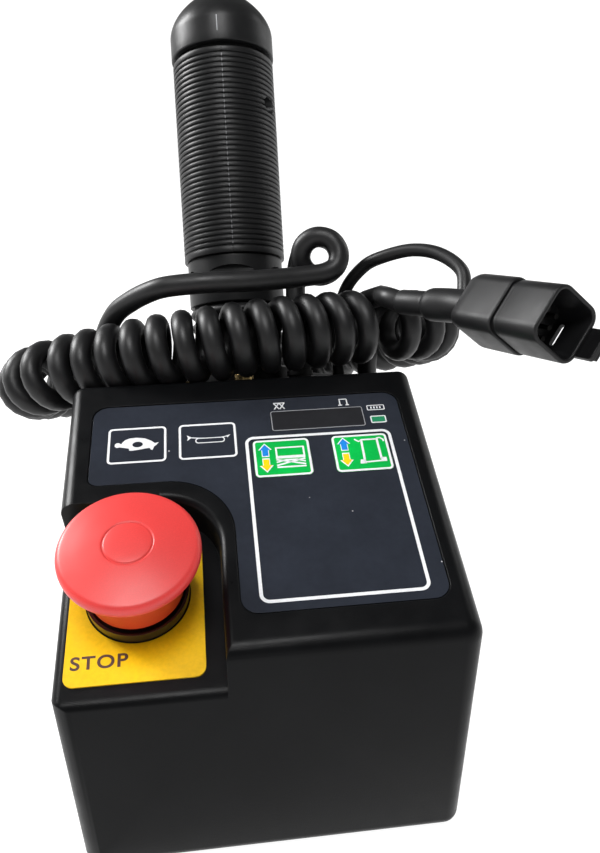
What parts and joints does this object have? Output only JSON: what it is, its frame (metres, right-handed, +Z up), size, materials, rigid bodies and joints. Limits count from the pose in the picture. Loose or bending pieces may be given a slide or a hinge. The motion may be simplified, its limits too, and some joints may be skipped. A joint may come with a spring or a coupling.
{
  "type": "lift control box",
  "caption": "Desk-like control box with a sloping keypad panel, a recessed stop button, a tilting ribbed joystick and a curly cord with a square connector.",
  "frame": {"origin": "centre of the base plate's underside", "axes": "+Z up, +Y from the operator towards the rear deck, +X to the right"},
  "size_m": [0.2032, 0.2217, 0.2483],
  "materials": {
    "housing_plastic": "satin textured moulding",
    "seal_rubber": "matte",
    "overlay_film": "glossy printed film",
    "key_green": "glossy printed film",
    "window_smoke": "smoked lens",
    "electronics": "moulded",
    "board_green": "solder mask",
    "screw_steel": "zinc plated",
    "brass": "bright",
    "label_yellow": "printed plate",
    "stop_red": "satin",
    "gloss_black": "glossy",
    "grip_plastic": "satin",
    "cord_jacket": "satin",
    "connector_plastic": "grained"
  },
  "bodies": {
    "root": {"housing": "housing_plastic", "base_gasket": "seal_rubber", "base_plate": "housing_plastic", "base_screws": "screw_steel", "base_inserts": "brass", "panel_overlay": "overlay_film", "display_window": "window_smoke", "status_window": "window_smoke", "display_module": "electronics", "circuit_board": "board_green", "board_screws": "screw_steel", "buzzer": "electronics", "key_switches": "electronics", "stop_label": "label_yellow", "stop_seal": "seal_rubber", "stop_collar": "gloss_black", "stop_nut": "screw_steel", "stop_contact_block": "electronics", "stick_base": "housing_plastic", "stick_base_screws": "brass", "stick_yoke": "screw_steel", "pivot_pin": "screw_steel", "centring_spring": "screw_steel", "position_sensor": "electronics", "cord_gland": "seal_rubber", "gland_nut": "screw_steel", "cord_lead": "cord_jacket", "cord_coil": "cord_jacket", "cord_tail": "cord_jacket", "cord_sleeve": "seal_rubber", "aux_grommet": "seal_rubber", "aux_lead": "cord_jacket", "aux_sleeve": "seal_rubber", "connector_backshell": "connector_plastic", "connector_seal": "seal_rubber", "connector_shell": "connector_plastic", "connector_contacts": "brass", "connector_latch": "connector_plastic"},
    "joystick": {"stick_shaft": "screw_steel", "stick_boot": "seal_rubber", "stick_collar": "grip_plastic", "grip_left": "grip_plastic", "grip_right": "grip_plastic", "grip_screw": "screw_steel", "cap_switch": "electronics", "cap_pin": "screw_steel"},
    "steer_cap": {"steer_cap": "grip_plastic"},
    "stop_plunger": {"stop_plunger": "stop_red"},
    "stop_head": {"stop_head": "stop_red"},
    "slow_key": {"slow_key": "overlay_film"},
    "horn_key": {"horn_key": "overlay_film"},
    "lift_key": {"lift_key": "key_green"},
    "drive_key": {"drive_key": "key_green"}
  },
  "joints": [
    {"name": "joystick_tilt", "type": "hinge", "parent": "root", "child": "joystick", "pos_m": [0.001, 0.04412, 0.08138], "axis": [1, 0, 0], "range_deg": [-10, 10], "stiffness_Nm_per_rad": 3},
    {"name": "cap_rock", "type": "hinge", "parent": "joystick", "child": "steer_cap", "pos_m": [0.001, 0.10894, 0.22295], "axis": [0, 0.9092, -0.4163], "range_deg": [-4, 4], "stiffness_Nm_per_rad": 0.5},
    {"name": "stop_press", "type": "slide", "parent": "root", "child": "stop_plunger", "axis": [0, 0.3746, -0.9272], "range_m": [0, 0.0036]},
    {"name": "stop_twist", "type": "hinge", "parent": "stop_plunger", "child": "stop_head", "pos_m": [-0.0369, -0.05837, 0.07568], "axis": [0, 0.3746, -0.9272], "range_deg": [0, 45], "stiffness_Nm_per_rad": 0.05},
    {"name": "slow_key_press", "type": "slide", "parent": "root", "child": "slow_key", "axis": [0, 0.3746, -0.9272], "range_m": [0, 0.0005], "stiffness_N_per_m": 400, "springref_m": -0.0002},
    {"name": "horn_key_press", "type": "slide", "parent": "root", "child": "horn_key", "axis": [0, 0.3746, -0.9272], "range_m": [0, 0.0005], "stiffness_N_per_m": 400, "springref_m": -0.0002},
    {"name": "lift_key_press", "type": "slide", "parent": "root", "child": "lift_key", "axis": [0, 0.3746, -0.9272], "range_m": [0, 0.0005], "stiffness_N_per_m": 400, "springref_m": -0.0002},
    {"name": "drive_key_press", "type": "slide", "parent": "root", "child": "drive_key", "axis": [0, 0.3746, -0.9272], "range_m": [0, 0.0005], "stiffness_N_per_m": 400, "springref_m": -0.0002}
  ]
}
